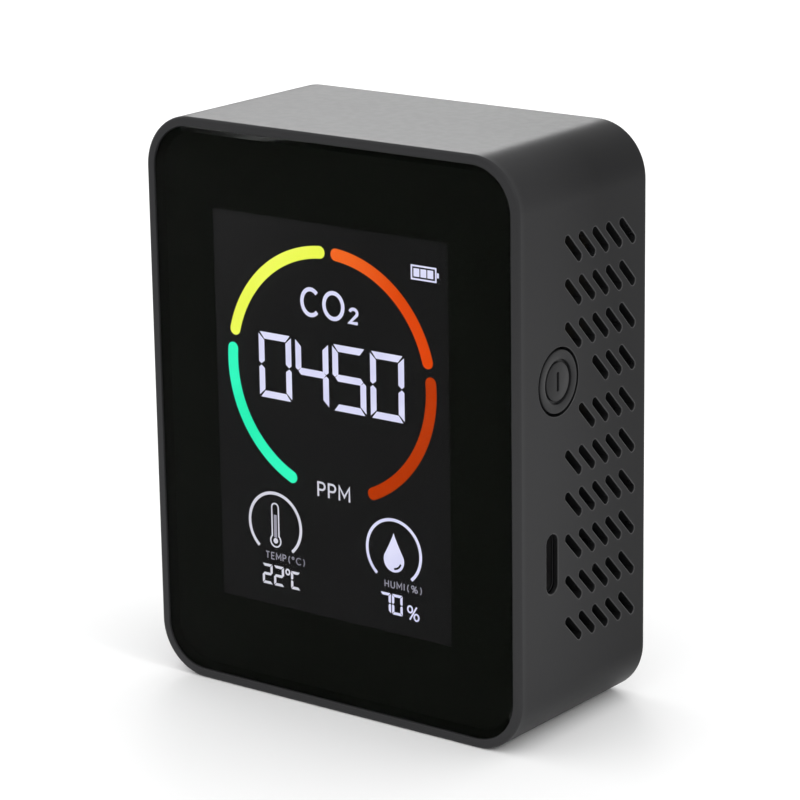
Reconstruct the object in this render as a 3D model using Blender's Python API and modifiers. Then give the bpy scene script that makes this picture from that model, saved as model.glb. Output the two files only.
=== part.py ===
"""Desktop carbon dioxide monitor, built as the assembly that comes apart on a bench.

Frame: metres, +Z up, the front faces -Y, and the origin is the middle of the underside.
Depths are measured back from the front rim with depth(), because the pieces stack up that way.
"""

import math

import bmesh
import bpy
from mathutils import Matrix, Vector

MM = 0.001

# Driving dimensions of the case
WIDTH = 66.5 * MM
DEPTH = 32.0 * MM
HEIGHT = 86.0 * MM
CORNER_RADIUS = 8.0 * MM
WALL = 1.8 * MM
RIM = 1.4 * MM
FRONT_EDGE = 0.5 * MM
BACK_EDGE = 0.3 * MM
CORNER_STEPS = 10

# Gaps between pieces that lie against each other
GAP = 0.1 * MM
FIT = 0.25 * MM
OVERSHOOT = 1.0 * MM

# Front stack, as depths behind the rim
LENS_RECESS = 0.2 * MM
LENS_THICK = 1.2 * MM
TAPE_THICK = 0.25 * MM
POLARIZER_THICK = 0.2 * MM
GLASS_THICK = 1.0 * MM
FRONT_WALL_FROM = LENS_RECESS + LENS_THICK + TAPE_THICK + 2 * GAP
FRONT_WALL_TO = FRONT_WALL_FROM + WALL
DISPLAY_WIDTH = 46.4 * MM
DISPLAY_HEIGHT = 65.4 * MM
DISPLAY_Z = 43.6 * MM
APERTURE_MARGIN = 0.3 * MM
FRAME_WALL = 1.1 * MM
GUIDE_THICK = 2.6 * MM

# Main board
BOARD_FROM = 9.5 * MM
BOARD_THICK = 1.6 * MM
BOARD_BACK = BOARD_FROM + BOARD_THICK
BOARD_WIDTH = 58.0 * MM
BOARD_HEIGHT = 65.6 * MM
BOARD_Z = 43.2 * MM
BOARD_SCREW_X = 26.4 * MM
BOARD_SCREW_Z = (14.6 * MM, 71.8 * MM)

# Rear cover and the four corner bosses it screws into
COVER_THICK = 2.1 * MM
COVER_FROM = DEPTH - COVER_THICK
BOSS_X = 27.2 * MM
BOSS_Z = (6.4 * MM, HEIGHT - 6.4 * MM)
BOSS_RADIUS = 3.3 * MM
BOSS_TOP = COVER_FROM - 0.3 * MM

# Side openings, as depths behind the rim and heights above the desk
SLOT_WIDTH = 1.25 * MM
SLOT_RUN = 2.9 * MM
SLOT_FIRST_DEPTH = 13.2 * MM
SLOT_COLUMN_PITCH = 3.4 * MM
SLOT_FIRST_Z = 71.4 * MM
SLOT_ROW_PITCH = 6.18 * MM
SLOT_ROWS = 10
SLOT_COLUMNS = 5
SLOT_SKIPS = {3: 2, 4: 1}
BUTTON_DEPTH = 9.5 * MM
BUTTON_Z = 53.1 * MM
BUTTON_RADIUS = 4.55 * MM
BUTTON_GAP = 0.4 * MM
PORT_DEPTH = 7.85 * MM
PORT_Z = 26.85 * MM
PORT_LENGTH = 8.8 * MM
PORT_WIDTH = 2.8 * MM
PORT_SKIN = 0.7 * MM

AXES = {"X": Vector((1, 0, 0)), "Y": Vector((0, 1, 0)), "Z": Vector((0, 0, 1))}


def depth(distance):
    """The y of a point that lies this far behind the front rim."""
    return distance - DEPTH / 2


def fresh_collection(name, hidden=False):
    collection = bpy.data.collections.new(name)
    bpy.context.scene.collection.children.link(collection)
    collection.hide_render = hidden
    return collection


def clear_scene():
    for old in list(bpy.data.objects):
        bpy.data.objects.remove(old, do_unlink=True)


clear_scene()
PARTS = fresh_collection("carbon_dioxide_monitor")
CUTTERS = fresh_collection("cutters", hidden=True)


def material(name, colour, roughness=0.5, metallic=0.0):
    """A Principled material, made once and shared by the pieces that use it."""
    made = bpy.data.materials.get(name)
    if made is None:
        made = bpy.data.materials.new(name)
        made.use_nodes = True
        shader = made.node_tree.nodes["Principled BSDF"]
        shader.inputs["Base Color"].default_value = (*colour, 1.0)
        shader.inputs["Roughness"].default_value = roughness
        shader.inputs["Metallic"].default_value = metallic
    return made


CASE_BLACK = ("case_black", (0.035, 0.035, 0.036), 0.45)
LENS_BLACK = ("lens_black", (0.006, 0.006, 0.006), 0.06)
TAPE_BLACK = ("tape_black", (0.02, 0.02, 0.02), 0.8)
FILM_GREY = ("film_grey", (0.012, 0.012, 0.013), 0.3)
GLASS_CLEAR = ("display_glass", (0.5, 0.55, 0.55), 0.08)
FRAME_WHITE = ("frame_white", (0.82, 0.82, 0.8), 0.45)
GUIDE_CLEAR = ("guide_acrylic", (0.75, 0.8, 0.85), 0.1)
RUBBER_GREY = ("elastomer_grey", (0.12, 0.12, 0.13), 0.7)
BOARD_GREEN = ("board_green", (0.02, 0.12, 0.05), 0.4)
CHIP_BLACK = ("chip_epoxy", (0.02, 0.02, 0.022), 0.6)
STEEL = ("plated_steel", (0.6, 0.6, 0.6), 0.3, 1.0)
GOLD = ("gold_plate", (0.83, 0.62, 0.25), 0.3, 1.0)
POUCH_SILVER = ("pouch_foil", (0.62, 0.63, 0.65), 0.4, 0.6)
KAPTON = ("polyimide_tape", (0.55, 0.26, 0.03), 0.3)
FOAM_BLACK = ("foam_black", (0.03, 0.03, 0.03), 0.95)
MEMBRANE_WHITE = ("membrane_white", (0.85, 0.85, 0.83), 0.9)
NYLON_WHITE = ("nylon_white", (0.75, 0.74, 0.68), 0.5)
WIRE_RED = ("wire_red", (0.5, 0.02, 0.02), 0.4)
WIRE_BLACK = ("wire_black", (0.02, 0.02, 0.02), 0.4)


def rounded_box(size, radius=0.0, along="Y", steps=3, ends=(0.0, 0.0), offset=(0, 0, 0)):
    """A bmesh box with its four edges along one axis rounded, and its two end outlines softened."""
    bm = bmesh.new()
    bmesh.ops.create_cube(bm, size=1.0)
    bmesh.ops.scale(bm, vec=size, verts=bm.verts)
    direction = AXES[along]
    if radius:
        edges = [e for e in bm.edges if abs((e.verts[0].co - e.verts[1].co).dot(direction)) > 1e-6]
        bmesh.ops.bevel(bm, geom=edges, offset=radius, segments=steps, profile=0.5, affect="EDGES")
    reach = max(abs(v.co.dot(direction)) for v in bm.verts)
    for sign, soft in zip((-1, 1), ends):
        if soft:
            rim = [e for e in bm.edges
                   if all(abs(v.co.dot(direction) - sign * reach) < 1e-7 for v in e.verts)]
            bmesh.ops.bevel(bm, geom=rim, offset=soft, segments=2, profile=0.5, affect="EDGES")
    bmesh.ops.translate(bm, vec=offset, verts=bm.verts)
    return bm


def cylinder(radius, length, along="Y", steps=16, offset=(0, 0, 0)):
    """A bmesh cylinder about one axis, centred on the offset."""
    bm = bmesh.new()
    bmesh.ops.create_cone(bm, cap_ends=True, segments=steps, radius1=radius, radius2=radius, depth=length)
    turn = AXES["Z"].rotation_difference(AXES[along]).to_matrix()
    bmesh.ops.rotate(bm, cent=(0, 0, 0), matrix=turn, verts=bm.verts)
    bmesh.ops.translate(bm, vec=offset, verts=bm.verts)
    return bm


def gathered(shapes):
    """Several separate bmesh bodies as one, for a cutter or for a Boolean union."""
    whole = bmesh.new()
    scratch = bpy.data.meshes.new("scratch")
    for bm in shapes:
        bm.to_mesh(scratch)
        whole.from_mesh(scratch)
        bm.free()
    bpy.data.meshes.remove(scratch)
    return whole


def as_object(name, bm, collection, location):
    mesh = bpy.data.meshes.new(name)
    bm.to_mesh(mesh)
    bm.free()
    made = bpy.data.objects.new(name, mesh)
    collection.objects.link(made)
    made.location = location
    return made


def solid(name, bm, finish, location=(0, 0, 0)):
    """A named piece of the monitor."""
    made = as_object(name, bm, PARTS, location)
    made.data.materials.append(material(*finish))
    return made


def helper(name, bm, location=(0, 0, 0)):
    """A Boolean operand: it shapes a piece and is never one itself."""
    made = as_object(name, bm, CUTTERS, location)
    made.hide_render = True
    made.display_type = "WIRE"
    return made


def boolean(piece, operand, operation):
    step = piece.modifiers.new(operation.lower() + "_" + operand.name, "BOOLEAN")
    step.operation = operation
    step.object = operand
    step.solver = "EXACT"


def cut(piece, bm, label):
    boolean(piece, helper(piece.name + "_" + label, bm), "DIFFERENCE")


def join(piece, bm, label):
    boolean(piece, helper(piece.name + "_" + label, bm), "UNION")


def turned(name, profile, finish, location, rotation=(0, 0, 0), steps=24):
    """A turned piece: the profile's (radius, height) points run from the top of the axis to its foot."""
    mesh = bpy.data.meshes.new(name)
    points = [(radius, 0.0, height) for radius, height in profile]
    mesh.from_pydata(points, [(i, i + 1) for i in range(len(points) - 1)], [])
    mesh.materials.append(material(*finish))
    made = bpy.data.objects.new(name, mesh)
    PARTS.objects.link(made)
    made.location = location
    made.rotation_euler = rotation
    screw = made.modifiers.new("turn", "SCREW")
    screw.axis = "Z"
    screw.steps = steps
    screw.render_steps = steps
    screw.use_merge_vertices = True
    screw.merge_threshold = 1e-6
    return made


def tube(name, points, radius, finish):
    """A round wire through the given points, capped at both ends."""
    curve = bpy.data.curves.new(name, "CURVE")
    curve.dimensions = "3D"
    curve.bevel_depth = radius
    curve.bevel_resolution = 2
    curve.use_fill_caps = True
    spline = curve.splines.new("POLY")
    spline.points.add(len(points) - 1)
    for target, point in zip(spline.points, points):
        target.co = (*point, 1.0)
    curve.materials.append(material(*finish))
    made = bpy.data.objects.new(name, curve)
    PARTS.objects.link(made)
    return made


def smooth_route(corners, count):
    """Points of a Catmull-Rom curve through the corners, evenly many on each stretch."""
    ends = [corners[0] * 2 - corners[1], *corners, corners[-1] * 2 - corners[-2]]
    route = []
    for a, b, c, d in zip(ends, ends[1:], ends[2:], ends[3:]):
        for step in range(count):
            t = step / count
            route.append(0.5 * (2 * b + (c - a) * t + (2 * a - 5 * b + 4 * c - d) * t ** 2
                                + (3 * b - a - 3 * c + d) * t ** 3))
    return route + [corners[-1]]


# ---- Case -------------------------------------------------------------------------------------

def slot_centres(skips):
    """(depth, z) of the middle of each vent slot; skips gives the first columns left out of a row."""
    return [(SLOT_FIRST_DEPTH + column * SLOT_COLUMN_PITCH, SLOT_FIRST_Z - row * SLOT_ROW_PITCH)
            for row in range(SLOT_ROWS)
            for column in range(skips.get(row, 0), SLOT_COLUMNS)]


def vent_slots(side, skips):
    """Slanted round-ended cutters through one side wall; side is 1 on the right and -1 on the left."""
    long_side = SLOT_RUN * math.sqrt(2) + SLOT_WIDTH
    slots = []
    for back, z in slot_centres(skips):
        slot = rounded_box((3 * WALL, SLOT_WIDTH, long_side), SLOT_WIDTH * 0.499, along="X", steps=3)
        bmesh.ops.rotate(slot, cent=(0, 0, 0), matrix=Matrix.Rotation(math.radians(45), 3, "X"),
                         verts=slot.verts)
        bmesh.ops.translate(slot, vec=(side * (WIDTH - WALL) / 2, depth(back), z), verts=slot.verts)
        slots.append(slot)
    return slots


def four_corners(x, heights):
    return [(sign * x, z) for z in heights for sign in (-1, 1)]


def front_housing():
    """The tub: rim, front wall, side walls, corner bosses for the cover and short ones for the board."""
    case = solid("front_housing",
                 rounded_box((WIDTH, DEPTH, HEIGHT), CORNER_RADIUS, steps=CORNER_STEPS,
                             ends=(FRONT_EDGE, BACK_EDGE)),
                 CASE_BLACK, (0, 0, HEIGHT / 2))
    middle = HEIGHT / 2
    cavity_length = DEPTH - FRONT_WALL_TO + OVERSHOOT
    lens_pocket_length = FRONT_WALL_FROM + OVERSHOOT
    cut(case, gathered([
        rounded_box((WIDTH - 2 * WALL, cavity_length, HEIGHT - 2 * WALL), CORNER_RADIUS - WALL,
                    steps=CORNER_STEPS,
                    offset=(0, depth(FRONT_WALL_TO) + cavity_length / 2, middle)),
        rounded_box((WIDTH - 2 * RIM, lens_pocket_length, HEIGHT - 2 * RIM), CORNER_RADIUS - RIM,
                    steps=CORNER_STEPS,
                    offset=(0, depth(FRONT_WALL_FROM) - lens_pocket_length / 2, middle)),
    ]), "hollows")
    cut(case, rounded_box((DISPLAY_WIDTH + 2 * APERTURE_MARGIN, 4 * WALL,
                           DISPLAY_HEIGHT + 2 * APERTURE_MARGIN), 0.8 * MM,
                          offset=(0, depth(FRONT_WALL_FROM), DISPLAY_Z)), "aperture")
    board_boss_top = BOARD_FROM - 0.3 * MM
    boss_root = FRONT_WALL_TO - OVERSHOOT
    join(case, gathered(
        [cylinder(BOSS_RADIUS, BOSS_TOP - boss_root, steps=20,
                  offset=(x, depth((BOSS_TOP + boss_root) / 2), z))
         for x, z in four_corners(BOSS_X, BOSS_Z)]
        + [cylinder(2.4 * MM, board_boss_top - boss_root,
                    offset=(x, depth((board_boss_top + boss_root) / 2), z))
           for x, z in four_corners(BOARD_SCREW_X, BOARD_SCREW_Z)]), "bosses")
    cut(case, gathered(
        [cylinder(1.1 * MM, 20 * MM, steps=12, offset=(x, depth(BOSS_TOP), z))
         for x, z in four_corners(BOSS_X, BOSS_Z)]
        + [cylinder(0.85 * MM, 9 * MM, steps=12, offset=(x, depth(board_boss_top), z))
           for x, z in four_corners(BOARD_SCREW_X, BOARD_SCREW_Z)]), "pilot_holes")
    port = rounded_box((3 * WALL, PORT_WIDTH, PORT_LENGTH), PORT_WIDTH * 0.49, along="X", steps=5,
                       offset=((WIDTH - WALL) / 2, depth(PORT_DEPTH), PORT_Z))
    hole = cylinder(BUTTON_RADIUS + BUTTON_GAP, 3 * WALL, along="X", steps=32,
                    offset=((WIDTH - WALL) / 2, depth(BUTTON_DEPTH), BUTTON_Z))
    cut(case, gathered(vent_slots(1, SLOT_SKIPS) + vent_slots(-1, {}) + [port, hole]), "side_openings")
    cut(case, rounded_box((2 * WALL, 5.4 * MM, 11.4 * MM), 0.6 * MM, along="X",
                          offset=(WIDTH / 2 - PORT_SKIN - WALL, depth(PORT_DEPTH), PORT_Z)), "port_pocket")


def rear_cover():
    """The plate set inside the tub's back edge, with screw seats, locating ribs and a label recess."""
    inner = WALL + FIT
    plate = solid("rear_cover",
                  rounded_box((WIDTH - 2 * inner, COVER_THICK, HEIGHT - 2 * inner), CORNER_RADIUS - inner,
                              steps=CORNER_STEPS, ends=(0.0, BACK_EDGE)),
                  CASE_BLACK, (0, depth(COVER_FROM + COVER_THICK / 2), HEIGHT / 2))
    rib_height = 2.0 * MM
    rib_gap = inner + 0.4 * MM
    join(plate, gathered([
        rounded_box((36 * MM, rib_height + COVER_THICK / 2, 1.2 * MM),
                    offset=(0, depth(COVER_FROM - rib_height / 2 + COVER_THICK / 4), z))
        for z in (rib_gap + 0.6 * MM, HEIGHT - rib_gap - 0.6 * MM)]), "ribs")
    cut(plate, gathered([cylinder(1.5 * MM, 3 * COVER_THICK, steps=16, offset=(x, depth(DEPTH), z))
                         for x, z in four_corners(BOSS_X, BOSS_Z)]), "screw_holes")
    seat_depth = 1.2 * MM
    cut(plate, gathered([cylinder(2.8 * MM, 2 * seat_depth, steps=24, offset=(x, depth(DEPTH), z))
                         for x, z in four_corners(BOSS_X, BOSS_Z)]), "screw_seats")
    cut(plate, rounded_box((40 * MM, 0.6 * MM, 28 * MM), 1.5 * MM, steps=4,
                           offset=(0, depth(DEPTH), 38 * MM)), "label_recess")


def cross_screw(name, x, z, head_back, head_radius, head_height, shank_radius, length):
    """A pan-head self-tapping screw driven forwards, with a cross recess; head_back is its depth."""
    profile = [(0.0, 0.0), (head_radius * 0.62, -0.04 * head_height),
               (head_radius * 0.92, -0.38 * head_height), (head_radius, -0.7 * head_height),
               (head_radius, -head_height), (shank_radius, -head_height),
               (shank_radius, -head_height - length + 1.2 * shank_radius),
               (0.0, -head_height - length)]
    screw = turned(name, profile, STEEL, (x, depth(head_back), z), (-math.pi / 2, 0, 0), steps=16)
    bar = head_radius * 1.15
    blade = head_radius * 0.24
    centre = (x, depth(head_back), z)
    cut(screw, rounded_box((bar, head_height * 1.1, blade), offset=centre), "slot_a")
    cut(screw, rounded_box((blade, head_height * 1.1, bar), offset=centre), "slot_b")


def fasteners():
    corners = four_corners(BOSS_X, BOSS_Z)
    for number, (x, z) in enumerate(corners, 1):
        cross_screw(f"cover_screw_{number}", x, z, DEPTH - 0.15 * MM, 2.45 * MM, 0.95 * MM, 0.95 * MM, 8 * MM)
    corners = four_corners(BOARD_SCREW_X, BOARD_SCREW_Z)
    for number, (x, z) in enumerate(corners, 1):
        cross_screw(f"board_screw_{number}", x, z, BOARD_BACK + 1.4 * MM, 1.9 * MM, 1.3 * MM, 0.7 * MM,
                    5.4 * MM)


# ---- Display ----------------------------------------------------------------------------------

def layer(name, size_x, size_z, start, thickness, finish, radius=0.0, steps=4, z=DISPLAY_Z):
    """A flat layer parallel to the front, from the depth start backwards."""
    return solid(name, rounded_box((size_x, thickness, size_z), radius, steps=steps), finish,
                 (0, depth(start + thickness / 2), z))


def front_lens():
    layer("front_lens", WIDTH - 2 * RIM - 2 * GAP, HEIGHT - 2 * RIM - 2 * GAP, LENS_RECESS, LENS_THICK,
          LENS_BLACK, CORNER_RADIUS - RIM - GAP, CORNER_STEPS, HEIGHT / 2)


def lens_adhesive():
    """The double-sided tape frame that holds the lens on the front wall."""
    start = LENS_RECESS + LENS_THICK + GAP
    tape = layer("lens_adhesive", WIDTH - 2 * RIM - 1.0 * MM, HEIGHT - 2 * RIM - 1.0 * MM, start, TAPE_THICK,
                 TAPE_BLACK, CORNER_RADIUS - RIM - 0.5 * MM, 6, HEIGHT / 2)
    cut(tape, rounded_box((DISPLAY_WIDTH + 2 * APERTURE_MARGIN, 4 * TAPE_THICK,
                           DISPLAY_HEIGHT + 2 * APERTURE_MARGIN), 0.8 * MM,
                          offset=(0, depth(start), DISPLAY_Z)), "window")


def display_stack():
    """Polarizer film, the two glass plates, and the backlight behind them."""
    back = LENS_RECESS + LENS_THICK + GAP
    layer("lcd_polarizer", DISPLAY_WIDTH - 1.6 * MM, DISPLAY_HEIGHT - 3.0 * MM, back, POLARIZER_THICK,
          FILM_GREY)
    back += POLARIZER_THICK + GAP
    layer("lcd_front_glass", DISPLAY_WIDTH, DISPLAY_HEIGHT, back, GLASS_THICK, GLASS_CLEAR)
    back += GLASS_THICK + GAP
    layer("lcd_rear_glass", DISPLAY_WIDTH, DISPLAY_HEIGHT, back, GLASS_THICK, GLASS_CLEAR)
    back += GLASS_THICK + GAP
    frame_length = BOARD_FROM - GAP - back
    frame = layer("backlight_frame", DISPLAY_WIDTH, DISPLAY_HEIGHT, back, frame_length, FRAME_WHITE, 0.6 * MM)
    inside_x = DISPLAY_WIDTH - 2 * FRAME_WALL
    inside_z = DISPLAY_HEIGHT - 2 * FRAME_WALL
    cut(frame, rounded_box((inside_x, 2 * frame_length, inside_z), 0.4 * MM,
                           offset=(0, depth(back), DISPLAY_Z)), "middle")
    floor_z = DISPLAY_Z - inside_z / 2
    strip_height = 2.0 * MM
    strip_z = floor_z + FIT + strip_height / 2
    layer("lcd_zebra_strip", inside_x - 4 * FIT, strip_height, back + GAP / 2, frame_length - GAP,
          RUBBER_GREY, z=strip_z)
    led_z = strip_z + strip_height / 2 + FIT + 0.7 * MM
    led_strip = layer("backlight_led_strip", inside_x - 4 * FIT, 0.6 * MM, back + GAP, GUIDE_THICK,
                      BOARD_GREEN, z=led_z)
    join(led_strip, gathered([
        rounded_box((3.0 * MM, 1.4 * MM, 0.9 * MM),
                    offset=(x * MM, depth(back + GAP + GUIDE_THICK / 2), led_z + 0.6 * MM))
        for x in (-16, -8, 0, 8, 16)]), "leds")
    guide_floor = led_z + 1.4 * MM
    guide_top = DISPLAY_Z + inside_z / 2 - FIT
    guide_z = (guide_floor + guide_top) / 2
    layer("backlight_guide", inside_x - 2 * FIT, guide_top - guide_floor, back + GAP, GUIDE_THICK,
          GUIDE_CLEAR, z=guide_z)
    layer("backlight_reflector", inside_x - 2 * FIT, guide_top - guide_floor, back + 2 * GAP + GUIDE_THICK,
          0.2 * MM, MEMBRANE_WHITE, z=guide_z)


# ---- Controls and port ------------------------------------------------------------------------

SWITCH_FACE_X = 28.4 * MM
SWITCH_SIZE = (3.8 * MM, 3.4 * MM, 6.0 * MM)
PLUNGER_SIZE = (2.4 * MM, 1.4 * MM, 2.6 * MM)
PLUNGER_TIP_X = 29.7 * MM


def power_button():
    """The round cap: dished face, engraved ring and bar, a retaining flange and a stem to the switch."""
    wall_inside = WIDTH / 2 - WALL
    flange_front = wall_inside - 0.3 * MM - WIDTH / 2
    flange_back = flange_front - 0.8 * MM
    stem_end = PLUNGER_TIP_X + 0.3 * MM - WIDTH / 2
    r = BUTTON_RADIUS
    dish = -0.25 * MM
    groove = dish - 0.3 * MM
    profile = [(0.0, dish), (2.75 * MM, dish), (2.75 * MM, groove), (3.1 * MM, groove), (3.1 * MM, dish),
               (3.7 * MM, dish), (4.0 * MM, -0.04 * MM), (4.3 * MM, -0.02 * MM), (r - 0.1 * MM, -0.1 * MM),
               (r, -0.3 * MM), (r, flange_front), (r + 1.1 * MM, flange_front), (r + 1.1 * MM, flange_back),
               (1.6 * MM, flange_back), (1.6 * MM, stem_end), (0.0, stem_end)]
    cap = turned("power_button", profile, CASE_BLACK, (WIDTH / 2, depth(BUTTON_DEPTH), BUTTON_Z),
                 (0, math.pi / 2, 0), steps=32)
    cut(cap, rounded_box((1.1 * MM, 0.4 * MM, 2.8 * MM), 0.19 * MM, along="X", steps=3,
                         offset=(WIDTH / 2, depth(BUTTON_DEPTH), BUTTON_Z)), "bar")


def tact_switch():
    """The side-push switch sunk in the board's notch; its plunger is the piece that the cap pushes."""
    y = depth(BUTTON_DEPTH)
    body = solid("tact_switch_body", rounded_box(SWITCH_SIZE, 0.3 * MM, along="X", steps=2), CHIP_BLACK,
                 (SWITCH_FACE_X - SWITCH_SIZE[0] / 2, y, BUTTON_Z))
    clearance = 0.15 * MM
    cut(body, rounded_box((2 * PLUNGER_SIZE[0], PLUNGER_SIZE[1] + 2 * clearance,
                           PLUNGER_SIZE[2] + 2 * clearance),
                          offset=(SWITCH_FACE_X + 0.6 * MM, y, BUTTON_Z)), "plunger_bore")
    solid("tact_switch_plunger", rounded_box(PLUNGER_SIZE, 0.3 * MM, along="X", steps=2), NYLON_WHITE,
          (PLUNGER_TIP_X - PLUNGER_SIZE[0] / 2, y, BUTTON_Z))


def usb_port():
    """A USB-C receptacle on the front of the board, its mouth just inside the thinned wall."""
    mouth_x = WIDTH / 2 - PORT_SKIN - 0.15 * MM
    length = 7.3 * MM
    wall = 0.3 * MM
    outer = (length, 3.2 * MM, 8.94 * MM)
    centre = (mouth_x - length / 2, depth(PORT_DEPTH), PORT_Z)
    shell = solid("usb_c_shell", rounded_box(outer, outer[1] * 0.49, along="X", steps=5), STEEL, centre)
    cut(shell, rounded_box((length, outer[1] - 2 * wall, outer[2] - 2 * wall), (outer[1] / 2 - wall) * 0.98,
                           along="X", steps=5, offset=(centre[0] + wall, centre[1], centre[2])), "mouth")
    base_length = 1.6 * MM
    base_x = mouth_x - length + wall + GAP + base_length / 2
    base = rounded_box((base_length, 2.3 * MM, 8.0 * MM), 1.1 * MM, along="X", steps=4)
    tongue = solid("usb_c_tongue", base, CHIP_BLACK, (base_x, centre[1], centre[2]))
    blade = rounded_box((4.6 * MM, 0.7 * MM, 6.7 * MM), offset=(base_x + 2.6 * MM, centre[1], centre[2]))
    join(tongue, blade, "blade")


# ---- Electronics ------------------------------------------------------------------------------

def main_board():
    board = layer("main_board", BOARD_WIDTH, BOARD_HEIGHT, BOARD_FROM, BOARD_THICK, BOARD_GREEN, 1.5 * MM, 3,
                  BOARD_Z)
    y = depth(BOARD_FROM)
    cut(board, gathered([cylinder(1.2 * MM, 4 * BOARD_THICK, steps=12, offset=(x, y, z))
                         for x, z in four_corners(BOARD_SCREW_X, BOARD_SCREW_Z)]), "screw_holes")
    notch_from = SWITCH_FACE_X - SWITCH_SIZE[0] - 0.3 * MM
    notch_width = BOARD_WIDTH / 2 - notch_from + OVERSHOOT
    isolation = [rounded_box((5.6 * MM, 4 * BOARD_THICK, 0.9 * MM), offset=(19.8 * MM, y, 17.6 * MM)),
                 rounded_box((0.9 * MM, 4 * BOARD_THICK, 3.2 * MM), offset=(15.8 * MM, y, 14.6 * MM))]
    switch_notch = rounded_box((notch_width, 4 * BOARD_THICK, SWITCH_SIZE[2] + 0.6 * MM),
                               offset=(notch_from + notch_width / 2, y, BUTTON_Z))
    cut(board, gathered([switch_notch, *isolation]), "notches")


def on_board(name, size, x, z, finish, radius=0.0, steps=2):
    """A component on the back of the board; size is (x, height off the board, z)."""
    return solid(name, rounded_box(size, radius, steps=steps, ends=(0.0, 0.15 * MM)), finish,
                 (x, depth(BOARD_BACK + GAP + size[1] / 2), z))


def board_components():
    on_board("mcu_chip", (9.0 * MM, 1.4 * MM, 9.0 * MM), 8.6 * MM, 19.0 * MM, CHIP_BLACK)
    on_board("charger_chip", (4.9 * MM, 1.5 * MM, 3.9 * MM), 21.5 * MM, 22.6 * MM, CHIP_BLACK)
    on_board("temp_humidity_sensor", (3.0 * MM, 1.1 * MM, 3.0 * MM), 19.8 * MM, 14.6 * MM, NYLON_WHITE)
    on_board("clock_crystal", (6.4 * MM, 1.8 * MM, 2.4 * MM), 8.6 * MM, 12.6 * MM, STEEL, 1.1 * MM, 4)
    on_board("boost_inductor", (6.0 * MM, 3.0 * MM, 6.0 * MM), 21.4 * MM, 65.8 * MM, CHIP_BLACK, 1.2 * MM, 3)
    can_height = 5.4 * MM
    solid("smoothing_capacitor", cylinder(2.5 * MM, can_height, steps=20), STEEL,
          (13.6 * MM, depth(BOARD_BACK + GAP + can_height / 2), 66.2 * MM))


BATTERY_SIZE = (30.0 * MM, 6.0 * MM, 48.0 * MM)
BATTERY_X = -13.0 * MM
BATTERY_Z = 41.2 * MM
PAD_THICK = 0.8 * MM
SOCKET_X = 5.0 * MM
SOCKET_Z = 70.6 * MM


def battery():
    """The pouch cell on its foam pad, the wrapped protection board on its top edge, and the leads."""
    start = BOARD_BACK + GAP
    layer("battery_foam_pad", BATTERY_SIZE[0] - 4 * MM, BATTERY_SIZE[2] - 6 * MM, start, PAD_THICK,
          FOAM_BLACK, z=BATTERY_Z).location.x = BATTERY_X
    cell_from = start + PAD_THICK + GAP
    cell_y = depth(cell_from + BATTERY_SIZE[1] / 2)
    solid("battery_cell", rounded_box(BATTERY_SIZE, 1.6 * MM, along="Z", steps=4, ends=(0.5 * MM, 0.5 * MM)),
          POUCH_SILVER, (BATTERY_X, cell_y, BATTERY_Z))
    wrap_height = 3.6 * MM
    wrap_z = BATTERY_Z + BATTERY_SIZE[2] / 2 + 0.3 * MM + wrap_height / 2
    solid("battery_protection_board", rounded_box((26 * MM, 3.2 * MM, wrap_height), 0.5 * MM, along="X"),
          KAPTON, (BATTERY_X, cell_y, wrap_z))
    wrap_top = wrap_z + wrap_height / 2
    plug_back = depth(BOARD_BACK + GAP + 8.3 * MM)
    for name, finish, leaves_x, pin_x, lift in (
            ("battery_lead_red", WIRE_RED, -7.6 * MM, SOCKET_X + 1.0 * MM, 1.8 * MM),
            ("battery_lead_black", WIRE_BLACK, -4.4 * MM, SOCKET_X - 1.0 * MM, 0.0)):
        start_point = Vector((leaves_x, cell_y, wrap_top + 0.3 * MM))
        end_point = Vector((pin_x, plug_back, SOCKET_Z))
        corners = [start_point,
                   start_point + Vector((0.2 * MM, 0.2 * MM, 1.6 * MM + lift)),
                   Vector(((leaves_x + pin_x) / 2, cell_y + 3.0 * MM + lift, SOCKET_Z + 1.0 * MM + lift)),
                   end_point + Vector((-0.5 * MM, 2.4 * MM + 0.6 * lift, 0.3 * MM + 0.3 * lift)),
                   end_point]
        tube(name, smooth_route(corners, 4), 0.6 * MM, finish)


def battery_connector():
    """The two-pin socket on the board, and the plug that sits in it."""
    height = 6.0 * MM
    centre_y = depth(BOARD_BACK + GAP + height / 2)
    socket = on_board("battery_socket", (7.4 * MM, height, 5.0 * MM), SOCKET_X, SOCKET_Z, NYLON_WHITE)
    well = rounded_box((6.0 * MM, height, 3.6 * MM), offset=(SOCKET_X, centre_y + 1.5 * MM, SOCKET_Z))
    cut(socket, well, "well")
    solid("battery_plug", rounded_box((5.6 * MM, 6.2 * MM, 3.2 * MM), 0.3 * MM, steps=2), NYLON_WHITE,
          (SOCKET_X, depth(BOARD_BACK + GAP + 1.8 * MM + 3.1 * MM), SOCKET_Z))


SENSOR_X = 15.5 * MM
SENSOR_Z = 44.6 * MM
SENSOR_SIZE = (19.4 * MM, 32.0 * MM)
SENSOR_BOARD_FROM = BOARD_BACK + 3.0 * MM
SENSOR_BOARD_THICK = 1.0 * MM
CHAMBER_HEIGHT = 7.4 * MM
WINDOW_OFFSETS = (-8.0 * MM, 2.0 * MM)


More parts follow.
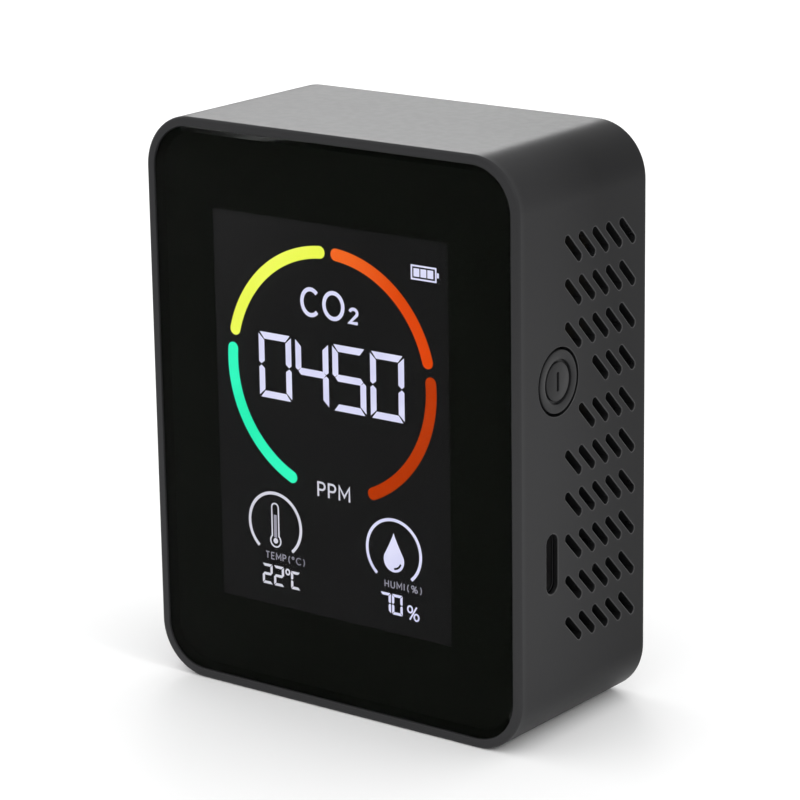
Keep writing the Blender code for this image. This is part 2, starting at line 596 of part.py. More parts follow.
def co2_sensor():
    """The infrared gas sensor module, on two pin headers behind the vents."""
    y = depth(SENSOR_BOARD_FROM + SENSOR_BOARD_THICK / 2)
    solid("co2_sensor_board", rounded_box((SENSOR_SIZE[0], SENSOR_BOARD_THICK, SENSOR_SIZE[1]), 0.8 * MM),
          BOARD_GREEN, (SENSOR_X, y, SENSOR_Z))
    chamber_from = SENSOR_BOARD_FROM + SENSOR_BOARD_THICK + GAP
    chamber_y = depth(chamber_from + CHAMBER_HEIGHT / 2)
    chamber_size = (16.0 * MM, CHAMBER_HEIGHT, 28.0 * MM)
    shell = rounded_box(chamber_size, 1.5 * MM, steps=3, ends=(0.0, 0.6 * MM))
    chamber = solid("co2_gas_chamber", shell, GOLD, (SENSOR_X, chamber_y, SENSOR_Z))
    cut(chamber, rounded_box((13.6 * MM, CHAMBER_HEIGHT, 25.6 * MM), 0.8 * MM, steps=2,
                             offset=(SENSOR_X, chamber_y - 1.2 * MM, SENSOR_Z)), "hollow")
    window = (9.0 * MM, 3 * MM, 5.0 * MM)
    top_y = depth(chamber_from + CHAMBER_HEIGHT)
    cut(chamber, gathered([rounded_box(window, 0.8 * MM, steps=2, offset=(SENSOR_X, top_y, SENSOR_Z + dz))
                           for dz in WINDOW_OFFSETS]), "windows")
    for number, dz in enumerate(WINDOW_OFFSETS, 1):
        solid(f"co2_filter_membrane_{number}",
              rounded_box((window[0] + 1.6 * MM, 0.3 * MM, window[2] + 1.6 * MM), 0.8 * MM, steps=2),
              MEMBRANE_WHITE, (SENSOR_X, top_y + GAP + 0.15 * MM, SENSOR_Z + dz))
    lamp_y = depth(chamber_from + 2.6 * MM)
    solid("co2_infrared_lamp", cylinder(1.6 * MM, 4.6 * MM, along="Z", steps=16), GLASS_CLEAR,
          (SENSOR_X, lamp_y, SENSOR_Z - 9.6 * MM))
    solid("co2_infrared_detector", cylinder(2.3 * MM, 3.6 * MM, along="Z", steps=20), STEEL,
          (SENSOR_X, lamp_y, SENSOR_Z + 10.2 * MM))
    header_gap = SENSOR_BOARD_FROM - BOARD_BACK
    pin_pitch = 2.54 * MM
    for number, (side, pins) in enumerate(((-1, 5), (1, 4)), 1):
        x = SENSOR_X + side * (SENSOR_SIZE[0] / 2 - 1.4 * MM)
        header = solid(f"co2_header_{number}",
                       rounded_box((2.3 * MM, header_gap - 2 * GAP, pins * pin_pitch)), CHIP_BLACK,
                       (x, depth(BOARD_BACK + header_gap / 2), SENSOR_Z))
        heights = [SENSOR_Z + (i - (pins - 1) / 2) * pin_pitch for i in range(pins)]
        mouth_y = depth(SENSOR_BOARD_FROM)
        cut(header, gathered([rounded_box((1.2 * MM, 1.2 * MM, 1.2 * MM), offset=(x, mouth_y, z))
                              for z in heights]), "pin_wells")


front_housing()
rear_cover()
fasteners()
front_lens()
lens_adhesive()
display_stack()
power_button()
tact_switch()
usb_port()
main_board()
board_components()
battery()
battery_connector()
co2_sensor()
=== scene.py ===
"""Looks of the desktop carbon dioxide monitor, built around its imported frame."""
import math

import bmesh
import bpy
from mathutils import Matrix, Vector


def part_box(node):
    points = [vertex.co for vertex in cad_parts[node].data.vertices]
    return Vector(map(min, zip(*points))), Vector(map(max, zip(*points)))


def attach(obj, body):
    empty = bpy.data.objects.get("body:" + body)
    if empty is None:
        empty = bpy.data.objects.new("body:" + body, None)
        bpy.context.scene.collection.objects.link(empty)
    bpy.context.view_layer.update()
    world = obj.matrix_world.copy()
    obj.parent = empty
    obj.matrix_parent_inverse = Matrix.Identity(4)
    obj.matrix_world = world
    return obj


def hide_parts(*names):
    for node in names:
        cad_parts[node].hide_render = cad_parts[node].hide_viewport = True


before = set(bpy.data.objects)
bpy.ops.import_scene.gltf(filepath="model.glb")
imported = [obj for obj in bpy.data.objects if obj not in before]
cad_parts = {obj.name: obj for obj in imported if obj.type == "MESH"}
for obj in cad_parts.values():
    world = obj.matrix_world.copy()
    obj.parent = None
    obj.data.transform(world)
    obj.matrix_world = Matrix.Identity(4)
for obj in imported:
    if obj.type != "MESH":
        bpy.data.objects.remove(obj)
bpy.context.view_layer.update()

MM = 0.001


# ---- Sizes that follow the CAD ------------------------------------------------------------------

LOW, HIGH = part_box("front_housing")
WIDTH = HIGH.x - LOW.x
DEPTH = HIGH.y - LOW.y
HEIGHT = HIGH.z - LOW.z
CORNER_RADIUS = 8.0 * MM
WALL = 1.8 * MM
RIM = 1.4 * MM
CORNER_STEPS = 20

LENS_LOW, LENS_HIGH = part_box("front_lens")
GLASS_LOW, GLASS_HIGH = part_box("lcd_front_glass")
COVER_LOW, COVER_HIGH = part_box("rear_cover")
BUTTON_LOW, BUTTON_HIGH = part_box("power_button")
PORT_LOW, PORT_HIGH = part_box("usb_c_shell")

DISPLAY = (GLASS_LOW + GLASS_HIGH) / 2
BUTTON = (BUTTON_LOW + BUTTON_HIGH) / 2
PORT = (PORT_LOW + PORT_HIGH) / 2

# Depths behind the front rim, and half sizes of openings
FRONT_WALL_FROM = 1.85 * MM
FRONT_WALL_TO = FRONT_WALL_FROM + WALL
APERTURE = (23.5 * MM, 33.0 * MM)
COVER_THICK = 2.1 * MM
LABEL = (20 * MM, 14 * MM)
LABEL_Z = 38 * MM

# Corner bosses for the cover screws, and the smaller ones for the board screws
BOSS_X = 27.2 * MM
BOSS_Z = (6.4 * MM, HEIGHT - 6.4 * MM)
BOSS_RADIUS = 3.3 * MM
BOSS_PILOT = 1.1 * MM
BOSS_PILOT_END = 19.6 * MM
BOSS_TOP = 29.6 * MM
BOARD_BOSS_X = 26.4 * MM
BOARD_BOSS_Z = (14.6 * MM, 71.8 * MM)
BOARD_BOSS_RADIUS = 2.4 * MM
BOARD_BOSS_PILOT = 0.85 * MM
BOARD_BOSS_PILOT_END = 4.7 * MM
BOARD_BOSS_TOP = 9.2 * MM

# Openings in the sides
BUTTON_RADIUS = 4.55 * MM
BUTTON_GAP = 0.4 * MM
PORT_HALF_WIDTH = 1.4 * MM
PORT_HALF_HEIGHT = 4.4 * MM
PORT_SKIN = 0.7 * MM
SLOT_WIDTH = 1.25 * MM
SLOT_RUN = 2.9 * MM
SLOT_FIRST_DEPTH = 13.2 * MM
SLOT_COLUMN_PITCH = 3.4 * MM
SLOT_FIRST_Z = 71.4 * MM
SLOT_ROW_PITCH = 6.18 * MM
SLOT_ROWS = 10
SLOT_COLUMNS = 5
SLOT_SKIPS = {3: 2, 4: 1}
SLOT_EDGE = 0.13 * MM

# Print and figures behind the lens; window and figures stand a little left of the middle
WINDOW = (21.1 * MM, 29.45 * MM)
WINDOW_CENTRE = (-0.78 * MM, DISPLAY.z - 0.3 * MM)
FIGURE_CENTRE = (-0.9 * MM, DISPLAY.z - 0.35 * MM)
PRINT_FRONT = 1.42 * MM
PRINT_THICK = 0.04 * MM
FIGURE_FRONT = 1.455 * MM
FIGURE_THICK = 0.03 * MM
LENS_BEVEL = 1.0 * MM


def depth(distance):
    """The y of a point this far behind the front rim."""
    return LOW.y + distance


def radians(degrees):
    return [math.radians(angle) for angle in degrees]


# ---- Materials ----------------------------------------------------------------------------------

def linear(value):
    value /= 255
    return value / 12.92 if value <= 0.04045 else ((value + 0.055) / 1.055) ** 2.4


def rgb(red, green, blue):
    """Linear colour from the 0 to 255 values it has on a screen."""
    return (linear(red), linear(green), linear(blue))


def shade(colour, factor):
    return tuple(min(1.0, channel * factor) for channel in colour)


class Surface:
    """A Principled material and the few procedural nodes that the finishes here are made of."""

    def __init__(self, name, roughness=0.5, metallic=0.0, specular=0.5, **sockets):
        self.material = bpy.data.materials.new(name)
        self.material.use_nodes = True
        self.tree = self.material.node_tree
        self.shader = self.tree.nodes["Principled BSDF"]
        self.coordinates = self.tree.nodes.new("ShaderNodeTexCoord").outputs["Object"]
        self.normal = None
        values = {"Roughness": roughness, "Metallic": metallic, "Specular IOR Level": specular, **sockets}
        for socket, value in values.items():
            self.shader.inputs[socket].default_value = value

    def link(self, output, target):
        self.tree.links.new(output, target)

    def stretched(self, scale):
        mapping = self.tree.nodes.new("ShaderNodeMapping")
        mapping.inputs["Scale"].default_value = scale
        self.link(self.coordinates, mapping.inputs["Vector"])
        return mapping.outputs["Vector"]

    def noise(self, scale, detail=3.0, rough=0.55, stretch=None):
        node = self.tree.nodes.new("ShaderNodeTexNoise")
        node.inputs["Scale"].default_value = scale
        node.inputs["Detail"].default_value = detail
        node.inputs["Roughness"].default_value = rough
        self.link(self.stretched(stretch) if stretch else self.coordinates, node.inputs["Vector"])
        return node.outputs["Fac"]

    def along(self, axis):
        """The position along one axis, in metres."""
        node = self.tree.nodes.new("ShaderNodeSeparateXYZ")
        self.link(self.coordinates, node.inputs[0])
        return node.outputs[axis]

    def ranged(self, source, low, high, start=0.3, stop=0.7):
        """Low to high, smoothly, while the source goes from start to stop."""
        node = self.tree.nodes.new("ShaderNodeMapRange")
        node.interpolation_type = "SMOOTHSTEP"
        node.inputs["From Min"].default_value = start
        node.inputs["From Max"].default_value = stop
        node.inputs["To Min"].default_value = low
        node.inputs["To Max"].default_value = high
        self.link(source, node.inputs["Value"])
        return node.outputs["Result"]

    def combined(self, one, other, operation="ADD"):
        node = self.tree.nodes.new("ShaderNodeMath")
        node.operation = operation
        self.link(one, node.inputs[0])
        self.link(other, node.inputs[1])
        return node.outputs[0]

    def colours(self, source, low, high, target="Base Color"):
        node = self.tree.nodes.new("ShaderNodeMix")
        node.data_type = "RGBA"
        node.inputs["A"].default_value = (*low, 1.0)
        node.inputs["B"].default_value = (*high, 1.0)
        self.link(source, node.inputs["Factor"])
        self.link(node.outputs["Result"], self.shader.inputs[target])
        return self

    def gloss(self, source, low, high):
        self.link(self.ranged(source, low, high), self.shader.inputs["Roughness"])
        return self

    def bump(self, source, strength, distance):
        node = self.tree.nodes.new("ShaderNodeBump")
        node.inputs["Strength"].default_value = strength
        node.inputs["Distance"].default_value = distance
        self.link(source, node.inputs["Height"])
        if self.normal:
            self.link(self.normal, node.inputs["Normal"])
        self.normal = node.outputs["Normal"]
        self.link(self.normal, self.shader.inputs["Normal"])
        return self


def moulded(name, colour, roughness, spread=0.06, grain=5200.0, depth_of_grain=0.012 * MM,
            strength=0.25, cloud=90.0, variation=0.1, specular=0.5, metallic=0.0):
    """Moulded plastic or a similar even finish: fine grain, faint clouding, slightly uneven gloss."""
    surface = Surface(name, roughness, metallic, specular)
    clouds = surface.noise(cloud, 4.0)
    surface.colours(surface.ranged(clouds, 0.0, 1.0),
                    shade(colour, 1 - variation), shade(colour, 1 + variation))
    surface.gloss(surface.noise(cloud * 3, 2.0), roughness - spread, roughness + spread)
    surface.bump(surface.noise(grain, 2.0), strength, depth_of_grain)
    return surface.material


def plated(name, colour, roughness, scratch=0.3):
    """Plated metal with fine drawn lines and a slightly stained gloss."""
    surface = Surface(name, roughness, 1.0)
    lines = surface.noise(1400.0, 3.0, 0.6, stretch=(1.0, 1.0, 0.08))
    surface.colours(surface.ranged(surface.noise(260.0), 0.0, 1.0), shade(colour, 0.86), shade(colour, 1.08))
    surface.gloss(surface.noise(420.0, 4.0), max(0.05, roughness - 0.08), roughness + 0.1)
    surface.bump(lines, scratch, 0.006 * MM)
    return surface.material


# Light that the lens reflects over a lit figure, which the figure's own light leaves out
LENS_SHEEN = 0.004


def lit(name, near, far, start=0.3, stop=0.7, axis=None):
    """A display figure lit from behind; its light varies a little, or runs from one colour to another."""
    surface = Surface(name, 0.6, specular=0.0)
    surface.shader.inputs["Base Color"].default_value = (0.002, 0.002, 0.002, 1.0)
    surface.shader.inputs["Emission Strength"].default_value = 1.0
    source = surface.along(axis) if axis else surface.noise(150.0, 2.0)
    near, far = (tuple(max(0.0, channel - LENS_SHEEN) for channel in colour) for colour in (near, far))
    surface.colours(surface.ranged(source, 0.0, 1.0, start, stop), near, far, "Emission Color")
    surface.bump(surface.noise(9000.0, 1.0), 0.05, 0.002 * MM)
    return surface.material


def inlet_finish():
    """Blackened plating, darkest on the mouth; lighter and duller deeper in, a painted light that lifts the
    shade inside the slot.
    """
    surface = Surface("black_nickel", 0.5, 1.0)
    # Painted light: the plating turns lighter deeper in the slot, where it lies in shade.
    painted_light_inside_mask = surface.ranged(surface.along("X"), 0.0, 1.0, PORT_HIGH.x - 0.5 * MM, PORT_HIGH.x - 0.1 * MM)
    surface.colours(painted_light_inside_mask, (0.11, 0.11, 0.113), (0.016, 0.016, 0.017))
    surface.gloss(surface.noise(420.0, 4.0), 0.45, 0.58)
    surface.bump(surface.noise(1400.0, 3.0, 0.6, stretch=(0.08, 1.0, 1.0)), 0.3, 0.006 * MM)
    return surface.material


def case_finish():
    """Satin moulded plastic: fine even grain and faint clouds, with painted light on the front rim and
    painted shade that darkens it a little toward the back and the top.
    """
    surface = Surface("case_black", 0.38, specular=0.075)
    clouds = surface.noise(900.0, 4.0)
    # Painted light and shade: the base colour is lighter on the front rim and darker toward the back and the
    # top, as the light falls on the case.
    painted_shade_behind_rim = surface.ranged(surface.along("Y"), 0.0, 0.28, depth(0.4 * MM), depth(1.8 * MM))
    painted_shade_backward = surface.ranged(surface.along("Y"), 0.0, 0.65, LOW.y, HIGH.y)
    painted_shade_upward = surface.ranged(surface.along("Z"), 0.0, 0.25, 0.4 * HIGH.z, HIGH.z)
    painted_shade_sum = surface.combined(surface.combined(painted_shade_behind_rim, painted_shade_backward), painted_shade_upward)
    clouds_and_painted_shade = surface.tree.nodes.new("ShaderNodeMath")
    clouds_and_painted_shade.operation = "MULTIPLY_ADD"
    clouds_and_painted_shade.inputs[1].default_value = 0.08
    surface.link(clouds, clouds_and_painted_shade.inputs[0])
    surface.link(painted_shade_sum, clouds_and_painted_shade.inputs[2])
    surface.colours(clouds_and_painted_shade.outputs[0], rgb(52, 52, 53), rgb(25, 25, 26))
    surface.gloss(surface.noise(700.0, 2.0), 0.37, 0.39)
    surface.bump(surface.noise(6500.0, 2.0), 0.12, 0.012 * MM)
    return surface.material


def lens_finish():
    """Polished acrylic, faintly uneven as moulded sheet is, with a few hairline marks."""
    surface = Surface("lens_acrylic", 0.02, **{"Transmission Weight": 1.0, "IOR": 1.05})
    surface.colours(surface.noise(40.0), (0.97, 0.975, 0.97), (0.985, 0.99, 0.985))
    surface.gloss(surface.noise(60.0, 3.0), 0.005, 0.02)
    surface.bump(surface.noise(35.0, 1.0), 0.01, 0.005 * MM)
    return surface.material


def film_finish():
    """The unlit display: near black, a little of the backlight leaking through, more at the upper left."""
    surface = Surface("display_film", 0.35, specular=0.02)
    surface.shader.inputs["Base Color"].default_value = (0.002, 0.002, 0.0021, 1.0)
    surface.shader.inputs["Emission Strength"].default_value = 1.0
    upper_left = surface.combined(surface.along("Z"), surface.along("X"), "SUBTRACT")
    leak = surface.ranged(upper_left, 0.0, 1.0, 62 * MM, 96 * MM)
    surface.colours(leak, rgb(17, 17, 17), rgb(27, 27, 27), "Emission Color")
    surface.bump(surface.noise(5200.0, 2.0), 0.05, 0.003 * MM)
    return surface.material


FINISH = {
    "case_black": case_finish(),
    # Painted shade: the cut walls of the vents, the button hole and the inlet slot get a darker plastic, as
    # shade falls in them.
    "case_cut_painted_shade": moulded("case_cut_painted_shade", rgb(26, 26, 27), 0.3, spread=0.03, strength=0.1, specular=0.55),
    "button_black": moulded("button_black", rgb(34, 34, 35), 0.36, spread=0.015, grain=6500.0, strength=0.12,
                            cloud=900.0, variation=0.05, specular=0.13),
    "lens": lens_finish(),
    "print_black": moulded("print_black", rgb(13, 15, 12), 0.5, strength=0.05, variation=0.08, specular=0.0),
    "tape_black": moulded("tape_black", rgb(34, 34, 34), 0.8, grain=2600.0, strength=0.5),
    "film": film_finish(),
    "display_glass": moulded("display_glass", rgb(70, 78, 78), 0.08, spread=0.03, variation=0.05),
    "frame_white": moulded("frame_white", rgb(225, 225, 220), 0.45, variation=0.04),
    "guide_acrylic": moulded("guide_acrylic", rgb(205, 215, 222), 0.12, spread=0.04, variation=0.03),
    "elastomer_grey": moulded("elastomer_grey", rgb(92, 92, 95), 0.7, grain=1400.0, strength=0.5),
    "board_green": moulded("board_green", rgb(18, 78, 46), 0.38, grain=1100.0, strength=0.35, cloud=700.0,
                           variation=0.3),
    "chip_epoxy": moulded("chip_epoxy", rgb(34, 34, 36), 0.62, grain=3600.0, strength=0.6),
    # Painted light: a light grey for the inlet's tongue, so that it is not lost in the shade deep in the
    # slot.
    "tongue_grey_painted_light": moulded("tongue_grey_painted_light", rgb(94, 94, 96), 0.5),
    "plated_steel": plated("plated_steel", (0.62, 0.62, 0.61), 0.28),
    # Painted shade: a dark copy of the plated steel for the screws' cross recesses.
    "steel_recess_painted_shade": plated("steel_recess_painted_shade", (0.14, 0.14, 0.14), 0.45),
    "black_nickel": inlet_finish(),
    "gold_plate": plated("gold_plate", (0.83, 0.6, 0.24), 0.3),
    # Painted shade: a darkened gold for the gas chamber, so that the inside seen through the vents is dark.
    "gold_painted_shade": plated("gold_painted_shade", (0.22, 0.16, 0.075), 0.5),
    "pouch_foil": moulded("pouch_foil", (0.6, 0.61, 0.63), 0.38, grain=900.0, strength=0.35, metallic=0.7,
                          depth_of_grain=0.03 * MM),
    "polyimide_tape": moulded("polyimide_tape", (0.55, 0.26, 0.03), 0.28, grain=700.0, strength=0.3),
    "foam_black": moulded("foam_black", rgb(38, 38, 38), 0.95, grain=1800.0, strength=0.9,
                          depth_of_grain=0.06 * MM),
    "membrane_white": moulded("membrane_white", rgb(228, 228, 224), 0.9, grain=3000.0, strength=0.5),
    "nylon_white": moulded("nylon_white", rgb(214, 212, 200), 0.5),
    "wire_red": moulded("wire_red", (0.5, 0.02, 0.02), 0.4),
    "wire_black": moulded("wire_black", rgb(30, 30, 30), 0.4),
    "lit_white": lit("lit_white", rgb(217, 217, 248), rgb(228, 228, 254)),
    "lit_soft": lit("lit_soft", rgb(212, 211, 223), rgb(221, 220, 232)),
    "lit_dim": lit("lit_dim", rgb(138, 136, 150), rgb(156, 154, 168)),
    "lit_yellow": lit("lit_yellow", rgb(238, 251, 84), rgb(244, 254, 98)),
    "lit_orange": lit("lit_orange", rgb(243, 106, 39), rgb(221, 73, 19), start=0 * MM, stop=14 * MM,
                      axis="X"),
    "lit_red": lit("lit_red", rgb(176, 55, 12), rgb(185, 61, 18)),
    "lit_green": lit("lit_green", rgb(44, 242, 184), rgb(54, 250, 194)),
}

CAD_FINISH = {
    "lens_adhesive": "tape_black", "lcd_polarizer": "film", "lcd_front_glass": "display_glass",
    "lcd_rear_glass": "display_glass", "lcd_zebra_strip": "elastomer_grey",
    "backlight_led_strip": "board_green", "backlight_guide": "guide_acrylic",
    "backlight_reflector": "membrane_white", "backlight_frame": "frame_white",
    "main_board": "board_green", "mcu_chip": "chip_epoxy", "charger_chip": "chip_epoxy",
    "boost_inductor": "chip_epoxy", "smoothing_capacitor": "plated_steel", "clock_crystal": "plated_steel",
    "temp_humidity_sensor": "nylon_white", "tact_switch_body": "chip_epoxy",
    "tact_switch_plunger": "nylon_white", "usb_c_tongue": "chip_epoxy",
    "battery_cell": "pouch_foil", "battery_foam_pad": "foam_black",
    "battery_protection_board": "polyimide_tape", "battery_lead_red": "wire_red",
    "battery_lead_black": "wire_black", "battery_plug": "nylon_white", "battery_socket": "nylon_white",
    # The gas chamber takes the darkened gold, a painted shade.
    "co2_sensor_board": "board_green", "co2_gas_chamber": "gold_painted_shade",
    "co2_filter_membrane_1": "membrane_white", "co2_filter_membrane_2": "membrane_white",
    "co2_infrared_lamp": "display_glass", "co2_infrared_detector": "plated_steel",
    "co2_header_1": "chip_epoxy", "co2_header_2": "chip_epoxy",
    **{f"board_screw_{number}": "plated_steel" for number in range(1, 5)},
}


def finish_cad_nodes():
    for node, finish in CAD_FINISH.items():
        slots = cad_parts[node].data.materials
        slots.clear()
        slots.append(FINISH[finish])


# ---- Mesh building ------------------------------------------------------------------------------

def piece(name, bm, finish, body="case", sharp=30.0):
    """A finished piece that rides on a CAD body."""
    mesh = bpy.data.meshes.new(name)
    bmesh.ops.recalc_face_normals(bm, faces=bm.faces)
    bm.to_mesh(mesh)
    bm.free()
    mesh.materials.append(FINISH[finish])
    made = bpy.data.objects.new(name, mesh)
    bpy.context.scene.collection.objects.link(made)
    soften(mesh, sharp)
    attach(made, body)
    return made


def soften(mesh, sharp):
    mesh.shade_smooth()
    mesh.set_sharp_from_angle(angle=math.radians(sharp))


def flat_faces_first(obj):
    """Normals weighted by face area, so wide flat faces stay flat beside their soft edges."""
    weights = obj.modifiers.new("weighted", "WEIGHTED_NORMAL")
    weights.keep_sharp = True


def carve(obj, bm, operation="DIFFERENCE", finish=None):
    """Applies a Boolean with the given bodies, whose own finish can stay on the cut faces."""
    mesh = bpy.data.meshes.new("cutter")
    bmesh.ops.recalc_face_normals(bm, faces=bm.faces)
    bm.to_mesh(mesh)
    bm.free()
    mesh.materials.append(FINISH[finish] if finish else obj.data.materials[0])
    cutter = bpy.data.objects.new("cutter", mesh)
    bpy.context.scene.collection.objects.link(cutter)
    step = obj.modifiers.new("carve", "BOOLEAN")
    step.operation = operation
    step.object = cutter
    step.solver = "EXACT"
    step.material_mode = "TRANSFER"
    evaluated = obj.evaluated_get(bpy.context.evaluated_depsgraph_get())
    result = bpy.data.meshes.new_from_object(evaluated)
    obj.modifiers.remove(step)
    old = obj.data
    obj.data = result
    result.name = old.name
    bpy.data.meshes.remove(old)
    bpy.data.objects.remove(cutter)


def rounded_rectangle(half_width, half_height, radius, steps=CORNER_STEPS):
    """(x, z) points of a rounded rectangle, counter-clockwise from the right side's lower end."""
    points = []
    for turn, (sx, sz) in enumerate(((1, 1), (-1, 1), (-1, -1), (1, -1))):
        centre = Vector((sx * (half_width - radius), sz * (half_height - radius)))
        for step in range(steps + 1):
            angle = math.radians(90 * (turn + step / steps))
            points.append(centre + radius * Vector((math.cos(angle), math.sin(angle))))
    return points


def in_front_plane(points, y, x=0.0, z=0.0):
    return [Vector((x + p.x, y, z + p.y)) for p in points]


def in_side_plane(points, x, y=0.0, z=0.0):
    return [Vector((x, y + p.x, z + p.y)) for p in points]


def loft(bm, rings, closed=False, caps=True):
    """Joins rings of equally many points, and closes the ends with a face or the loft on itself."""
    made = [[bm.verts.new(point) for point in ring] for ring in rings]
    stretches = list(zip(made, made[1:])) + ([(made[-1], made[0])] if closed else [])
    for a, b in stretches:
        for i in range(len(a)):
            j = (i + 1) % len(a)
            bm.faces.new((a[i], a[j], b[j], b[i]))
    if caps and not closed:
        bm.faces.new(made[0][::-1])
        bm.faces.new(made[-1])
    return bm


def lathe(bm, profile, steps, place):
    """Turns (radius, height) points about the Z axis, then puts them in place with a matrix."""
    loops = []
    for radius, height in profile:
        if radius < 1e-9:
            loops.append([bm.verts.new(place @ Vector((0, 0, height)))])
            continue
        loops.append([bm.verts.new(place @ Vector((radius * math.cos(math.tau * i / steps),
                                                   radius * math.sin(math.tau * i / steps), height)))
                      for i in range(steps)])
    for a, b in zip(loops, loops[1:]):
        for i in range(steps):
            j = (i + 1) % steps
            if len(a) == 1:
                bm.faces.new((a[0], b[j], b[i]))
            elif len(b) == 1:
                bm.faces.new((a[i], a[j], b[0]))
            else:
                bm.faces.new((a[i], a[j], b[j], b[i]))
    return bm


# ---- Case ---------------------------------------------------------------------------------------

def case_rings():
    """(inset, depth) of the case's rings, from the lens ledge over the rim to the inside of the wall."""
    lip = 0.12 * MM
    front = 0.55 * MM
    back = 0.8 * MM
    path = [(RIM, FRONT_WALL_FROM), (RIM, 0.5 * MM)]
    path += [(RIM - lip + lip * math.cos(a), lip - lip * math.sin(a))
             for a in radians((0, 30, 60, 90))]
    path += [(front - front * math.sin(a), front - front * math.cos(a))
             for a in radians(range(0, 91, 15))]
    path += [(back - back * math.cos(a), DEPTH - back + back * math.sin(a))
             for a in radians(range(0, 91, 15))]
    path += [(WALL - 0.2 * MM, DEPTH), (WALL - 0.06 * MM, DEPTH - 0.05 * MM), (WALL, DEPTH - 0.2 * MM)]
    return path + [(WALL, FRONT_WALL_TO)]


def four_corners(x, heights):
    return [(sign * x, z) for z in heights for sign in (-1, 1)]


def along_y(x, z):
    """A matrix that lays a turned shape's height along +Y, standing at (x, 0, z)."""
    return Matrix.Translation((x, 0, z)) @ Matrix.Rotation(math.radians(-90), 4, "X")


def slot_centres(skips):
    return [(SLOT_FIRST_DEPTH + column * SLOT_COLUMN_PITCH, SLOT_FIRST_Z - row * SLOT_ROW_PITCH)
            for row in range(SLOT_ROWS)
            for column in range(skips.get(row, 0), SLOT_COLUMNS)]


def soft_mouth(outline_at, side, soft, through):
    """Rings of a cutter through a side wall whose mouth is rounded; outline_at(grow) gives its points."""
    face = side * WIDTH / 2
    rings = [(-through, 0.0)] + [(-soft * (1 - math.sin(a)), soft * (1 - math.cos(a)))
                                 for a in radians(range(0, 91, 30))]
    rings.append((0.3 * MM, soft))
    return [[Vector((face + side * out, p.x, p.y)) for p in outline_at(grow)] for out, grow in rings]


def slot_cutter(bm, side, back, z):
    half_length = SLOT_RUN / math.sqrt(2) + SLOT_WIDTH / 2
    turn = Matrix.Rotation(math.radians(-45), 2)

    def outline_at(grow):
        radius = SLOT_WIDTH / 2 + grow
        shape = rounded_rectangle(half_length + grow, radius, radius * 0.98, 6)
        return [turn @ p + Vector((depth(back), z)) for p in shape]

    loft(bm, soft_mouth(outline_at, side, SLOT_EDGE, WALL + 1 * MM))


def button_cutter(bm, steps=96):
    def outline_at(grow):
        radius = BUTTON_RADIUS + BUTTON_GAP + grow
        return [Vector((BUTTON.y + radius * math.cos(math.tau * i / steps),
                        BUTTON.z + radius * math.sin(math.tau * i / steps))) for i in range(steps)]

    loft(bm, soft_mouth(outline_at, 1, 0.08 * MM, WALL + 1 * MM))


def port_cutter(bm):
    def outline_at(grow):
        radius = PORT_HALF_WIDTH + grow
        return [p + Vector((PORT.y, PORT.z))
                for p in rounded_rectangle(radius, PORT_HALF_HEIGHT + grow, radius * 0.98, 12)]

    loft(bm, soft_mouth(outline_at, 1, 0.15 * MM, WALL + 1 * MM))


def boss(bm, x, z, radius, top, bore, bore_end):
    """A screw boss with a chamfered top and a blind pilot hole, rooted in the front wall."""
    root = FRONT_WALL_TO - 1 * MM
    edge = 0.2 * MM
    outside = [(0, root), (radius, root), (radius, top - edge), (radius - edge, top)]
    inside = [(bore + edge, top), (bore, top - edge), (bore, bore_end), (0, bore_end - 0.3 * MM)]
    lathe(bm, [(out, depth(back)) for out, back in outside + inside], 40, along_y(x, z))


def front_housing():
    """The shell with its bosses, vents, button hole and inlet slot, and a pocket behind the slot."""
    middle = HEIGHT / 2
    rings = [in_front_plane(rounded_rectangle(WIDTH / 2 - inset, HEIGHT / 2 - inset, CORNER_RADIUS - inset),
                            depth(back), z=middle) for inset, back in case_rings()]
    rings += [in_front_plane(rounded_rectangle(*APERTURE, 0.8 * MM), depth(back), z=DISPLAY.z)
              for back in (FRONT_WALL_TO, FRONT_WALL_FROM)]
    case = piece("case_shell", loft(bmesh.new(), rings, closed=True), "case_black")
    bosses = bmesh.new()
    for x, z in four_corners(BOSS_X, BOSS_Z):
        boss(bosses, x, z, BOSS_RADIUS, BOSS_TOP, BOSS_PILOT, BOSS_PILOT_END)
    for x, z in four_corners(BOARD_BOSS_X, BOARD_BOSS_Z):
        boss(bosses, x, z, BOARD_BOSS_RADIUS, BOARD_BOSS_TOP, BOARD_BOSS_PILOT, BOARD_BOSS_PILOT_END)
    carve(case, bosses, "UNION")
    openings = bmesh.new()
    for side, skips in ((1, SLOT_SKIPS), (-1, {})):
        for back, z in slot_centres(skips):
            slot_cutter(openings, side, back, z)
    button_cutter(openings)
    port_cutter(openings)
    # The cut walls take the darker painted-shade finish.
    carve(case, openings, finish="case_cut_painted_shade")
    pocket = bmesh.new()
    shape = rounded_rectangle(2.7 * MM, 5.7 * MM, 0.6 * MM, 4)
    loft(pocket, [in_side_plane(shape, x, PORT.y, PORT.z)
                  for x in (WIDTH / 2 - PORT_SKIN, WIDTH / 2 - WALL - 1 * MM)])
    carve(case, pocket)
    soften(case.data, 30)
    flat_faces_first(case)
    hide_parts("front_housing")


